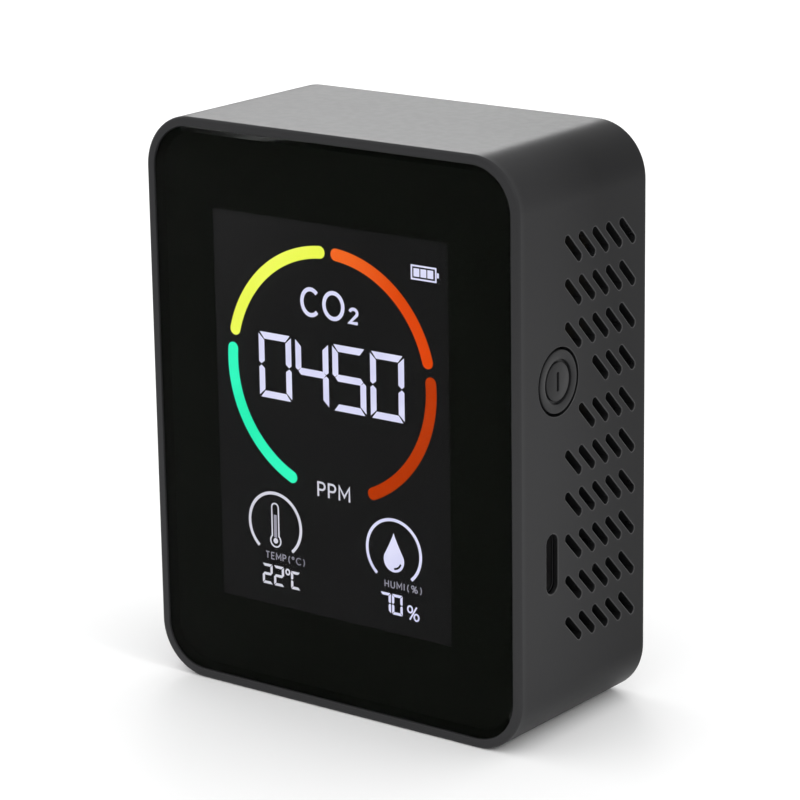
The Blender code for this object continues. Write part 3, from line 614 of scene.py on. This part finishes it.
def rear_cover():
    """The inset back plate, with two inner ribs, sunk screw holes and a shallow label recess."""
    middle = (COVER_LOW.z + COVER_HIGH.z) / 2
    half_width = (COVER_HIGH.x - COVER_LOW.x) / 2
    half_height = (COVER_HIGH.z - COVER_LOW.z) / 2
    radius = CORNER_RADIUS - (WIDTH / 2 - half_width)
    inner = DEPTH - COVER_THICK
    seat = DEPTH - 1.2 * MM
    edge = 0.3 * MM
    path = [(0.0, inner), (0.0, DEPTH - edge)]
    path += [(edge - edge * math.cos(a), DEPTH - edge + edge * math.sin(a))
             for a in radians((30, 60, 90))]
    rings = [in_front_plane(rounded_rectangle(half_width - inset, half_height - inset, radius - inset),
                            depth(back), z=middle) for inset, back in path]
    cover = piece("back_plate", loft(bmesh.new(), rings), "case_black")
    ribs = bmesh.new()
    for z in (3.05 * MM, HEIGHT - 3.05 * MM):
        loft(ribs, [in_front_plane(rounded_rectangle(18 * MM, 0.6 * MM, 0.2 * MM, 3), depth(back), z=z)
                    for back in (inner - 2 * MM, inner + 1 * MM)])
    carve(cover, ribs, "UNION")
    holes = bmesh.new()
    for x, z in four_corners(BOSS_X, BOSS_Z):
        lathe(holes, [(0, depth(inner - 1 * MM)), (1.5 * MM, depth(inner - 1 * MM)),
                      (1.5 * MM, depth(seat)), (2.8 * MM, depth(seat)),
                      (2.8 * MM, depth(DEPTH - 0.15 * MM)), (3.1 * MM, depth(DEPTH + 0.15 * MM)),
                      (0, depth(DEPTH + 0.15 * MM))], 48, along_y(x, z))
    loft(holes, [in_front_plane(rounded_rectangle(LABEL[0] + grow, LABEL[1] + grow, 1.5 * MM + grow, 8),
                                depth(back), z=LABEL_Z)
                 for back, grow in ((DEPTH - 0.3 * MM, 0), (DEPTH - 0.1 * MM, 0),
                                    (DEPTH + 0.1 * MM, 0.2 * MM))])
    carve(cover, holes)
    soften(cover.data, 30)
    flat_faces_first(cover)
    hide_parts("rear_cover")


def cross_outline(arm, half, turn):
    """(x, z) corners of a cross turned by some degrees, in order round it."""
    quarter = [Vector((arm, -half)), Vector((arm, half)), Vector((half, half))]
    return [Matrix.Rotation(math.radians(90 * side + turn), 2) @ corner
            for side in range(4) for corner in quarter]


def cross_screw(name, node, x, z, back, turn, head_radius, head_height, shank_radius, length):
    """A pan-head screw with a cross recess turned by some degrees, and its thread as separate rings; the
    recess is a darker steel, a painted shade.
    """
    r, h = head_radius, head_height
    profile = [(0, 0), (r * 0.5, -0.02 * h), (r * 0.78, -0.12 * h), (r * 0.93, -0.34 * h), (r, -0.62 * h),
               (r, -0.95 * h), (r - 0.05 * h, -h), (shank_radius, -h)]
    pitch = 0.7 * MM
    turns = int((length - 1.6 * MM) / pitch)
    for turn in range(turns):
        top = -h - 0.4 * MM - turn * pitch
        profile += [(shank_radius * 0.8, top), (shank_radius, top - 0.25 * pitch),
                    (shank_radius * 0.8, top - 0.5 * pitch)]
    profile += [(shank_radius * 0.8, -h - length + 1.1 * MM), (0.12 * MM, -h - length), (0, -h - length)]
    place = Matrix.Translation((0, depth(back), 0)) @ along_y(x, z)
    screw = piece(name, lathe(bmesh.new(), profile, 40, place), "plated_steel")
    recess = bmesh.new()
    loft(recess, [in_front_plane(cross_outline(r * 0.58 * f, r * 0.13 * f, turn), depth(back + reach), x, z)
                  for reach, f in ((-0.62 * h, 0.62), (0.3 * h, 1.12))])
    # The recess takes the darker steel, a painted shade.
    carve(screw, recess, finish="steel_recess_painted_shade")
    soften(screw.data, 32)
    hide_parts(node)


def cover_screws():
    for number, (x, z) in enumerate(four_corners(BOSS_X, BOSS_Z), 1):
        cross_screw(f"cover_screw_{number}_turned", f"cover_screw_{number}", x, z, back=DEPTH - 0.15 * MM,
                    turn=37 * number, head_radius=2.45 * MM, head_height=0.95 * MM, shank_radius=0.95 * MM,
                    length=8 * MM)


# ---- Front --------------------------------------------------------------------------------------

def lens():
    """The polished lens, bevelled behind, and the black print on its bevel and round the window."""
    middle = (LENS_LOW.z + LENS_HIGH.z) / 2
    half_width = (LENS_HIGH.x - LENS_LOW.x) / 2
    half_height = (LENS_HIGH.z - LENS_LOW.z) / 2
    radius = CORNER_RADIUS - RIM - 0.1 * MM
    edge = 0.12 * MM
    path = [(edge, LENS_LOW.y), (edge * 0.3, LENS_LOW.y + edge * 0.3), (0, LENS_LOW.y + edge),
            (LENS_BEVEL, LENS_HIGH.y)]
    rings = [in_front_plane(rounded_rectangle(half_width - inset, half_height - inset, radius - inset), y,
                            z=middle) for inset, y in path]
    sheet = piece("lens_sheet", loft(bmesh.new(), rings), "lens")
    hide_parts("front_lens")
    outer = rounded_rectangle(half_width, half_height, radius)
    shift = Vector((WINDOW_CENTRE[0], WINDOW_CENTRE[1] - middle))
    window = [p + shift for p in rounded_rectangle(*WINDOW, 0.25 * MM)]
    front = depth(PRINT_FRONT)
    back = front + PRINT_THICK
    skirt = 0.06 * MM
    around = rounded_rectangle(half_width + skirt, half_height + skirt, radius + skirt)
    hem = LENS_LOW.y + edge
    flat = rounded_rectangle(half_width - LENS_BEVEL, half_height - LENS_BEVEL, radius - LENS_BEVEL)
    rings = [in_front_plane(around, hem + skirt, z=middle), in_front_plane(around, back, z=middle),
             in_front_plane(window, back, z=middle), in_front_plane(window, front, z=middle),
             in_front_plane(flat, front, z=middle), in_front_plane(outer, hem + skirt, z=middle)]
    piece("lens_print", loft(bmesh.new(), rings, closed=True), "print_black")


def slab(bm, pairs, closed=False, caps=((), ()), lift=0.0):
    """A thin flat figure between pairs of (x, z) points, drawn about the display's middle, in mm."""
    near = depth(FIGURE_FRONT - lift)
    far = near + FIGURE_THICK

    def put(point, y):
        return bm.verts.new((FIGURE_CENTRE[0] + point[0] * MM, y, FIGURE_CENTRE[1] + point[1] * MM))

    rows = [[put(p, y) for p in pair for y in (near, far)] for pair in pairs]
    stretches = list(zip(rows, rows[1:])) + ([(rows[-1], rows[0])] if closed else [])
    for a, b in stretches:
        bm.faces.new((a[0], b[0], b[2], a[2]))
        bm.faces.new((a[1], a[3], b[3], b[1]))
        bm.faces.new((a[0], a[1], b[1], b[0]))
        bm.faces.new((a[2], b[2], b[3], a[3]))
    if closed:
        return
    for row, cap in ((rows[0], caps[0]), (rows[-1], caps[1])):
        arc = [(put(p, near), put(p, far)) for p in cap]
        edge = [(row[0], row[1]), *arc, (row[2], row[3])]
        if arc:
            bm.faces.new([pair[0] for pair in edge])
            bm.faces.new([pair[1] for pair in reversed(edge)])
        for (a, b), (c, d) in zip(edge, edge[1:]):
            bm.faces.new((a, c, d, b))


def stroke(bm, path, width, closed=False, round_ends=False, lift=0.0):
    """A line of even width along (x, z) points in mm."""
    points = [Vector(p) for p in path]
    count = len(points)
    pairs = []
    for i, point in enumerate(points):
        into = point - points[i - 1] if closed or i else None
        out = points[(i + 1) % count] - point if closed or i < count - 1 else None
        into = (into or out).normalized()
        out = (out or into).normalized()
        along = (into + out).normalized()
        across = Vector((-along.y, along.x))
        reach = width / 2 / max(0.5, across.dot(Vector((-into.y, into.x))))
        pairs.append((point + across * reach, point - across * reach))
    caps = ((), ())
    if round_ends:
        caps = tuple([cap_point(points[i], pairs[i][0] - points[i], turn * degrees)
                      for degrees in range(15, 180, 15)] for i, turn in ((0, 1), (-1, -1)))
    slab(bm, pairs, closed, caps, lift)


def cap_point(centre, arm, degrees):
    return centre + Matrix.Rotation(math.radians(degrees), 2) @ arm


def arc(x, z, radius_x, radius_z, start, stop, steps=24):
    """(x, z) points of an ellipse between two angles in degrees."""
    return [(x + radius_x * math.cos(math.radians(start + (stop - start) * i / steps)),
             z + radius_z * math.sin(math.radians(start + (stop - start) * i / steps)))
            for i in range(steps + 1)]


GLYPHS = {
    "C": (0.76, [arc(0.42, 0.5, 0.42, 0.5, 45, 315)]),
    "O": (0.9, [arc(0.45, 0.5, 0.45, 0.5, 0, 345, 23)]),
    "2": (0.6, [arc(0.3, 0.72, 0.29, 0.28, 165, -25, 14) + [(0.0, 0.0), (0.62, 0.0)]]),
    "P": (0.56, [[(0, 0), (0, 1)] + arc(0.3, 0.74, 0.26, 0.26, 90, -90, 12) + [(0.0, 0.48)]]),
    "M": (0.84, [[(0, 0), (0, 1), (0.42, 0.3), (0.84, 1), (0.84, 0)]]),
    "T": (0.66, [[(0, 1), (0.66, 1)], [(0.33, 1), (0.33, 0)]]),
    "E": (0.52, [[(0.52, 1), (0, 1), (0, 0), (0.52, 0)], [(0, 0.52), (0.46, 0.52)]]),
    "H": (0.64, [[(0, 0), (0, 1)], [(0.64, 0), (0.64, 1)], [(0, 0.5), (0.64, 0.5)]]),
    "U": (0.64, [[(0, 1)] + arc(0.32, 0.32, 0.32, 0.32, 180, 360, 12) + [(0.64, 1)]]),
    "I": (0.0, [[(0, 0), (0, 1)]]),
    "(": (0.2, [arc(0.55, 0.45, 0.5, 0.75, 132, 228, 10)]),
    ")": (0.2, [arc(-0.35, 0.45, 0.5, 0.75, -48, 48, 10)]),
    "o": (0.3, [arc(0.15, 0.82, 0.15, 0.17, 0, 345, 15)]),
    "%": (0.9, [arc(0.19, 0.76, 0.19, 0.24, 0, 345, 15), arc(0.71, 0.24, 0.19, 0.24, 0, 345, 15),
                [(0.16, 0.0), (0.74, 1.0)]]),
}
CLOSED_GLYPH_PATHS = {("O", 0), ("o", 0), ("%", 0), ("%", 1)}


def write(bm, text, x, z, height, width, gap, stretch=1.0):
    """Writes measuring signs from the left edge x and the foot z; heights and widths in mm."""
    inner = height - width
    x += width / 2
    for sign in text:
        advance, paths = GLYPHS[sign]
        for number, path in enumerate(paths):
            points = [(x + px * inner * stretch, z + width / 2 + pz * inner) for px, pz in path]
            stroke(bm, points, width, closed=(sign, number) in CLOSED_GLYPH_PATHS)
        x += advance * inner * stretch + gap


def polygon(bm, corners):
    """A flat convex figure with an even number of corners, given in order round it."""
    half = len(corners) // 2
    slab(bm, list(zip(corners[:half], corners[:half - 1:-1])))


SEGMENTS = {"0": "abcdef", "2": "abged", "4": "fgbc", "5": "afgcd", "7": "abc", "C": "afed"}


def segment_outlines(width, height, thick):
    """Corners of the seven segments of a figure, mitred where they meet."""
    w, h, t = width, height, thick
    m = h / 2
    side = 0.04 * w
    near, far = 0.29 * t, 1.19 * t
    top = [(side, h), (w - side, h), (w - t - 0.04 * t, h - t), (t + 0.04 * t, h - t)]
    left = [(0, h - near), (t, h - far), (t, m + 0.55 * t), (0.42 * t, m + 0.1 * t), (0.0, m + 0.42 * t),
            (0, m + 0.8 * t)]
    middle = [(0.5 * t, m), (0.95 * t, m + t / 2), (w - 0.95 * t, m + t / 2), (w - 0.5 * t, m),
              (w - 0.95 * t, m - t / 2), (0.95 * t, m - t / 2)]

    def across(shape):
        return [(w - x, z) for x, z in reversed(shape)]

    def below(shape):
        return [(x, h - z) for x, z in reversed(shape)]

    return {"a": top, "b": across(left), "c": below(across(left)), "d": below(top), "e": below(left),
            "f": left, "g": middle}


def figure(bm, sign, x, z, width, height, thick):
    """One seven-segment figure, from its left edge and its foot."""
    for name in SEGMENTS[sign]:
        corners = [(x + px, z + pz) for px, pz in segment_outlines(width, height, thick)[name]]
        polygon(bm, corners)


RING_CENTRE = (0.07, 7.4)
RING_RADIUS = 18.0
RING_WIDTH = 1.84
RING_PARTS = (("yellow", "lit_yellow", 94.7, 165.5), ("orange", "lit_orange", 14.5, 85.4),
              ("red", "lit_red", -65.6, 4.9), ("green", "lit_green", 175.1, 245.7))


SMALL_FIGURE = (1.9, 3.1, 0.4)


def lit_piece(name, bm, finish="lit_white"):
    return piece("figure_" + name, bm, finish, sharp=20)


def dial(bm, x, z=-16.9):
    """The open ring round a small sign."""
    stroke(bm, arc(x, z, 4.8, 4.8, -50, 230, 64), 0.46)


def display():
    """Every lit figure: the four arcs, the reading, its name and unit, and the signs round them."""
    for name, finish, start, stop in RING_PARTS:
        bm = bmesh.new()
        path = arc(*RING_CENTRE, RING_RADIUS, RING_RADIUS, start, stop, 48)
        stroke(bm, path, RING_WIDTH, round_ends=True)
        lit_piece(f"arc_{name}", bm, finish)
    bm = bmesh.new()
    for sign, x in zip("0450", (-13.0, -6.2, 0.55, 7.35)):
        figure(bm, sign, x, 2.375, 6.0, 9.83, 1.02)
    lit_piece("reading", bm)
    bm = bmesh.new()
    write(bm, "CO", -5.1, 15.6, 4.4, 0.6, 1.12, 1.0)
    write(bm, "2", 3.6, 15.56, 2.5, 0.46, 0.3, 1.12)
    lit_piece("gas_name", bm)
    bm = bmesh.new()
    write(bm, "PPM", -2.7, -11.2, 2.4, 0.3, 0.72, 1.04)
    lit_piece("unit", bm, "lit_soft")
    temperature()
    humidity()
    battery_sign()


def temperature():
    """A thermometer in its ring, the reading and the label."""
    x = -10.75
    bm = bmesh.new()
    slab(bm, [((x - 0.27, -15.4), (x + 0.27, -15.4)), ((x - 0.27, -18.9), (x + 0.27, -18.9))])
    lit_piece("temperature_column", bm, "lit_dim")
    bm = bmesh.new()
    dial(bm, x - 0.02)
    outline = arc(x, -14.28, 0.62, 0.62, 0, 180, 12) + arc(x, -19.4, 0.95, 0.95, 131, 409, 28)
    stroke(bm, outline, 0.22, closed=True)
    reach = radians(range(10, 171, 16))
    slab(bm, [((x - 0.42 * math.sin(a), -19.4 + 0.42 * math.cos(a)),
               (x + 0.42 * math.sin(a), -19.4 + 0.42 * math.cos(a))) for a in reach])
    for sign, left in zip("22", (-13.4, -11.25)):
        figure(bm, sign, left, -26.35, *SMALL_FIGURE)
    stroke(bm, arc(-8.62, -23.85, 0.34, 0.4, 0, 345, 15), 0.24, closed=True)
    figure(bm, "C", -8.02, -26.3, 1.72, 2.75, 0.4)
    lit_piece("temperature", bm, "lit_soft")
    bm = bmesh.new()
    write(bm, "TEMP", -12.75, -22.4, 1.15, 0.16, 0.4)
    write(bm, "(oC)", -8.5, -22.4, 1.15, 0.16, 0.46, 1.15)
    lit_piece("temperature_name", bm, "lit_dim")


def drop_half_width(z):
    """Half the width of the drop at a height above its middle, in mm."""
    radius, tip = 1.82, 4.1
    if z <= 0.7:
        return math.sqrt(max(0.0, radius ** 2 - z ** 2))
    rest = (tip - z) / (tip - 0.7)
    return math.sqrt(radius ** 2 - 0.49) * rest ** 1.15


def humidity():
    """A drop in its ring, the reading and the label."""
    x, middle = 11.06, -18.35
    bm = bmesh.new()
    dial(bm, x, -17.1)
    heights = [-1.81 + 5.88 * i / 36 for i in range(37)]
    slab(bm, [((x - drop_half_width(z), middle + z), (x + drop_half_width(z), middle + z)) for z in heights])
    for sign, left in zip("70", (8.5, 10.6)):
        figure(bm, sign, left, -26.58, *SMALL_FIGURE)
    write(bm, "%", 13.3, -26.9, 2.3, 0.25, 0.0, 1.06)
    lit_piece("humidity", bm)
    bm = bmesh.new()
    stroke(bm, arc(x, middle, 1.28, 1.28, -84, -24, 12), 0.3, round_ends=True, lift=0.01 * MM)
    piece("figure_drop_shine", bm, "print_black")
    bm = bmesh.new()
    write(bm, "HUMI", 9.3, -22.65, 1.15, 0.16, 0.45)
    write(bm, "(%)", 13.3, -22.65, 1.15, 0.16, 0.55, 1.15)
    lit_piece("humidity_name", bm, "lit_dim")


def battery_sign():
    """A full battery of three bars."""
    left, foot, wide, tall = 14.9, 23.7, 4.2, 1.9
    bm = bmesh.new()
    stroke(bm, [(left, foot), (left + wide, foot), (left + wide, foot + tall), (left, foot + tall)], 0.24,
           closed=True)
    for number in range(3):
        x = left + 0.36 + number * 1.2
        polygon(bm, [(x, foot + 0.36), (x + 1.0, foot + 0.36), (x + 1.0, foot + tall - 0.36),
                     (x, foot + tall - 0.36)])
    nub = left + wide + 0.2
    polygon(bm, [(nub, foot + 0.6), (nub + 0.32, foot + 0.6), (nub + 0.32, foot + tall - 0.6),
                 (nub, foot + tall - 0.6)])
    lit_piece("battery_sign", bm)


# ---- Button and inlet ---------------------------------------------------------------------------

def power_button():
    """The cap: raised soft ring, shallow dish, engraved ring and bar, flange and stem inside."""
    r = BUTTON_RADIUS
    flange_front = -WALL - 0.3 * MM
    flange_back = flange_front - 0.8 * MM
    stem_end = BUTTON_LOW.x - WIDTH / 2
    disc = -0.12 * MM
    groove = -0.5 * MM
    profile = [(0, disc), (2.66 * MM, disc), (2.76 * MM, disc - 0.04 * MM), (2.8 * MM, disc - 0.12 * MM),
               (2.82 * MM, groove), (3.2 * MM, groove), (3.22 * MM, -0.16 * MM), (3.26 * MM, -0.07 * MM),
               (3.36 * MM, -0.03 * MM)]
    edge = 0.16 * MM
    profile += [(r - edge + edge * math.sin(a), -0.01 * MM - edge + edge * math.cos(a))
                for a in radians(range(0, 91, 15))]
    profile += [(r, flange_front), (r + 1.1 * MM, flange_front), (r + 1.1 * MM, flange_back),
                (1.6 * MM, flange_back), (1.6 * MM, stem_end + 0.1 * MM), (1.5 * MM, stem_end), (0, stem_end)]
    place = Matrix.Translation((WIDTH / 2, BUTTON.y, BUTTON.z)) @ Matrix.Rotation(math.radians(90), 4, "Y")
    cap = piece("button_cap", lathe(bmesh.new(), profile, 96, place), "button_black", "button")
    bar = bmesh.new()
    rings = [(-0.45 * MM, 0.0), (-0.24 * MM, 0.0), (-0.15 * MM, 0.05 * MM), (0.1 * MM, 0.15 * MM)]
    loft(bar, [in_side_plane(rounded_rectangle(0.25 * MM + grow, 1.38 * MM + grow, 0.22 * MM + grow, 5),
                             WIDTH / 2 + x, BUTTON.y, BUTTON.z) for x, grow in rings])
    carve(cap, bar)
    soften(cap.data, 32)
    flat_faces_first(cap)
    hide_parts("power_button")


def usb_inlet():
    """The receptacle: a drawn shell with a rolled mouth, and the tongue with its rows of contacts."""
    half_width = (PORT_HIGH.y - PORT_LOW.y) / 2
    half_height = (PORT_HIGH.z - PORT_LOW.z) / 2
    wall = 0.3 * MM
    lip = 0.1 * MM
    mouth = PORT_HIGH.x
    path = [(0.0, PORT_LOW.x), (0.0, mouth - lip), (lip * 0.3, mouth - lip * 0.3), (lip, mouth),
            (wall - lip, mouth), (wall, mouth - lip), (wall, PORT_LOW.x + wall)]
    rings = [in_side_plane(rounded_rectangle(half_width - inset, half_height - inset,
                                             (half_width - inset) * 0.98, 10), x, PORT.y, PORT.z)
             for inset, x in path]
    shell = piece("inlet_shell", loft(bmesh.new(), rings), "black_nickel")
    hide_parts("usb_c_shell")
    low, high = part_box("usb_c_tongue")
    tongue = bmesh.new()
    loft(tongue, [in_side_plane(rounded_rectangle(1.15 * MM, 4.0 * MM, 1.1 * MM, 8), x, PORT.y, PORT.z)
                  for x in (low.x, low.x + 1.6 * MM)])
    # The tongue takes the light grey, a painted light that lifts the shade in the slot.
    blade = piece("inlet_tongue", tongue, "tongue_grey_painted_light")
    nose = [(low.x + 1.0 * MM, 0.0), (high.x - 0.25 * MM, 0.0), (high.x, 0.14 * MM)]
    bar = bmesh.new()
    loft(bar, [in_side_plane(rounded_rectangle(0.35 * MM - grow, 3.35 * MM - grow, 0.1 * MM, 3), x, PORT.y,
                             PORT.z) for x, grow in nose])
    carve(blade, bar, "UNION")
    soften(blade.data, 30)
    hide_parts("usb_c_tongue")
    contacts = bmesh.new()
    for side in (-1, 1):
        for number in range(12):
            z = PORT.z + (number - 5.5) * 0.5 * MM
            y = PORT.y + side * 0.36 * MM
            loft(contacts, [in_side_plane(rounded_rectangle(0.03 * MM, 0.13 * MM, 0.01 * MM, 2), x, y, z)
                            for x in (low.x + 1.8 * MM, high.x - 0.5 * MM)])
    piece("inlet_contacts", contacts, "gold_plate")


# ---- Stage --------------------------------------------------------------------------------------

CAMERA_AZIMUTH = 37.209
CAMERA_ELEVATION = 15.540
CAMERA_ROLL = -0.847
CAMERA_LENS = 150.09
CAMERA_DISTANCE = 478.3 * MM
CAMERA_AIM = Vector((7.394, -8.98, 47.027)) * MM


def camera():
    data = bpy.data.cameras.new("camera")
    data.sensor_width = 36.0
    data.lens = CAMERA_LENS
    data.clip_start = 0.01
    data.clip_end = 20.0
    made = bpy.data.objects.new("camera", data)
    bpy.context.scene.collection.objects.link(made)
    azimuth = math.radians(CAMERA_AZIMUTH)
    elevation = math.radians(CAMERA_ELEVATION)
    back = Vector((math.sin(azimuth) * math.cos(elevation), -math.cos(azimuth) * math.cos(elevation),
                   math.sin(elevation)))
    turn = (-back).to_track_quat("-Z", "Y").to_matrix() @ Matrix.Rotation(math.radians(CAMERA_ROLL), 3, "Z")
    made.matrix_world = Matrix.Translation(CAMERA_AIM + back * CAMERA_DISTANCE) @ turn.to_4x4()
    bpy.context.scene.camera = made


def softbox(name, place, aim, size, power):
    data = bpy.data.lights.new(name, "AREA")
    data.shape = "RECTANGLE"
    data.size, data.size_y = size
    data.energy = power
    made = bpy.data.objects.new(name, data)
    bpy.context.scene.collection.objects.link(made)
    place = Vector(place)
    made.matrix_world = (Matrix.Translation(place)
                         @ (Vector(aim) - place).to_track_quat("-Z", "Y").to_matrix().to_4x4())
    made.visible_camera = False


def floor():
    bm = bmesh.new()
    bmesh.ops.create_grid(bm, x_segments=1, y_segments=1, size=6.0)
    mesh = bpy.data.meshes.new("floor")
    bm.to_mesh(mesh)
    bm.free()
    mesh.materials.append(moulded("floor", (0.93, 0.93, 0.93), 0.75, grain=300.0, strength=0.05, cloud=4.0,
                                  variation=0.01, specular=0.2))
    made = bpy.data.objects.new("floor", mesh)
    bpy.context.scene.collection.objects.link(made)


def skylight(strength, spread):
    """An even overhead light, as from a large scrim."""
    data = bpy.data.lights.new("scrim", "SUN")
    data.energy = strength
    data.angle = math.radians(spread)
    made = bpy.data.objects.new("scrim", data)
    bpy.context.scene.collection.objects.link(made)
    made.location = (0, 0, 2)
    made.rotation_euler = (math.radians(12), 0, math.radians(-40))


def studio():
    world = bpy.data.worlds.new("studio")
    world.use_nodes = True
    backdrop = world.node_tree.nodes["Background"]
    backdrop.inputs["Color"].default_value = (1.0, 1.0, 1.0, 1.0)
    backdrop.inputs["Strength"].default_value = 0.93
    bpy.context.scene.world = world
    bpy.context.scene.view_settings.view_transform = "Standard"
    floor()
    skylight(0.8, 120)
    softbox("softbox_back", (-0.8, 1.03, 0.54), (0, 0, 0.06), (0.4, 0.22), 2.6)
    softbox("softbox_right", (0.85, -0.1, 0.62), (0.02, 0, 0.05), (0.2, 0.2), 1.5)


camera()
studio()
finish_cad_nodes()
front_housing()
rear_cover()
cover_screws()
lens()
display()
power_button()
usb_inlet()
